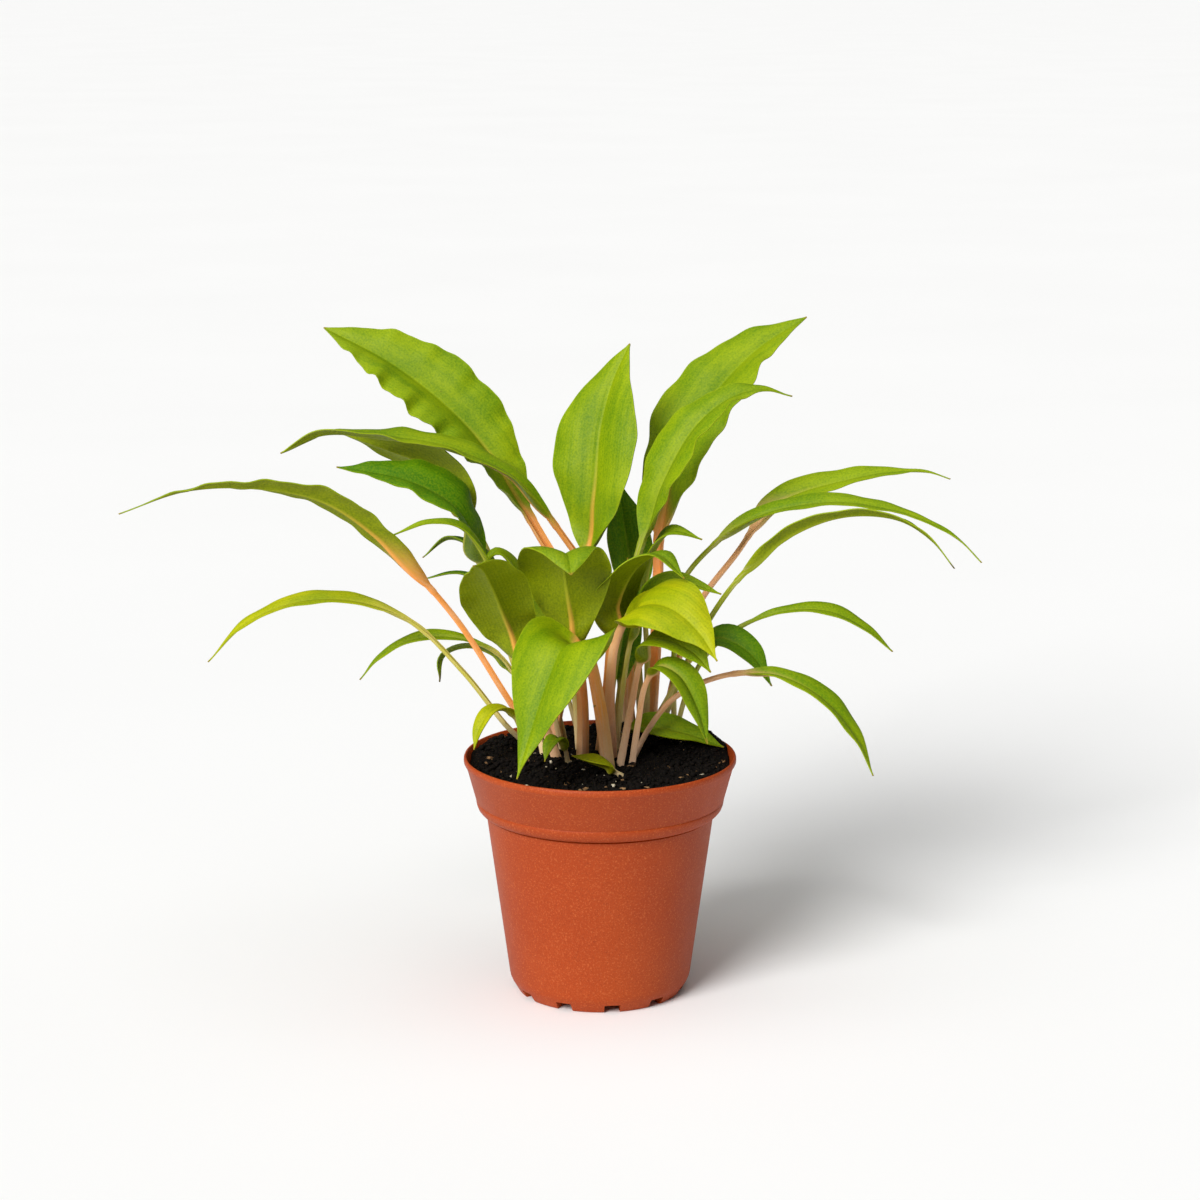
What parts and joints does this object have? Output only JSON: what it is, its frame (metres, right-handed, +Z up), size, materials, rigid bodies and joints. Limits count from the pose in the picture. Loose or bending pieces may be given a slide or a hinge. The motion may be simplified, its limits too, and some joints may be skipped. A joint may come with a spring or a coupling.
{
  "type": "potted house plant",
  "caption": "Leafy spider plant with broad arching green leaves on pale orange stalks, growing in dark potting mix in a tapered round plastic nursery pot with a wide rim band.",
  "frame": {"origin": "centre of the pot's foot, on the surface that the pot stands on", "axes": "+Z up along the pot's axis, -Y towards the front of the plant, +X to the right seen from the front"},
  "size_m": [0.337, 0.1584, 0.262],
  "materials": {
    "pot_plastic": "satin terracotta-orange injection-moulded plastic",
    "potting_mix": "damp, near-black fibrous potting mix",
    "leaf_green": "satin green leaf",
    "leaf_yellow_green": "satin yellow-green leaf",
    "leaf_olive": "satin leaf, its olive underside showing",
    "leaf_dark_green": "satin darker green leaf"
  },
  "bodies": {
    "root": {"nursery_pot": "pot_plastic", "potting_mix": "potting_mix", "leaf_back_left_tall": "leaf_green", "leaf_left_long": "leaf_green", "leaf_left_behind": "leaf_green", "leaf_left_broad": "leaf_dark_green", "leaf_left_longest": "leaf_olive", "leaf_left_yellow": "leaf_yellow_green", "leaf_left_arch": "leaf_green", "leaf_left_curled": "leaf_dark_green", "leaf_centre_left_upright": "leaf_olive", "leaf_centre_front_upright": "leaf_olive", "leaf_centre_right_upright": "leaf_olive", "leaf_front_broad": "leaf_green", "leaf_right_yellow": "leaf_yellow_green", "leaf_right_pointed": "leaf_green", "leaf_right_lower": "leaf_green", "leaf_right_olive_arch": "leaf_olive", "leaf_right_dark": "leaf_dark_green", "leaf_right_low_long": "leaf_green", "leaf_right_arch": "leaf_green", "leaf_right_upper_long": "leaf_green", "leaf_right_upper_back": "leaf_green", "leaf_right_upper_front": "leaf_green", "leaf_back_right_tall": "leaf_green", "leaf_right_tall": "leaf_green", "leaf_centre_tall": "leaf_green", "leaf_back_dark": "leaf_dark_green", "leaf_right_small_arch": "leaf_green", "leaf_left_small_grey": "leaf_green", "leaf_left_small_hanging": "leaf_dark_green", "leaf_left_thin": "leaf_dark_green", "leaf_left_folded": "leaf_green", "leaf_rim_left": "leaf_yellow_green", "leaf_lying_right": "leaf_green", "leaf_front_small_yellow": "leaf_yellow_green", "leaf_front_small_olive": "leaf_olive", "leaf_inner_dark": "leaf_dark_green", "leaf_inner_left_dark": "leaf_dark_green", "leaf_back_middle": "leaf_green", "leaf_back_left": "leaf_green"}
  },
  "joints": []
}
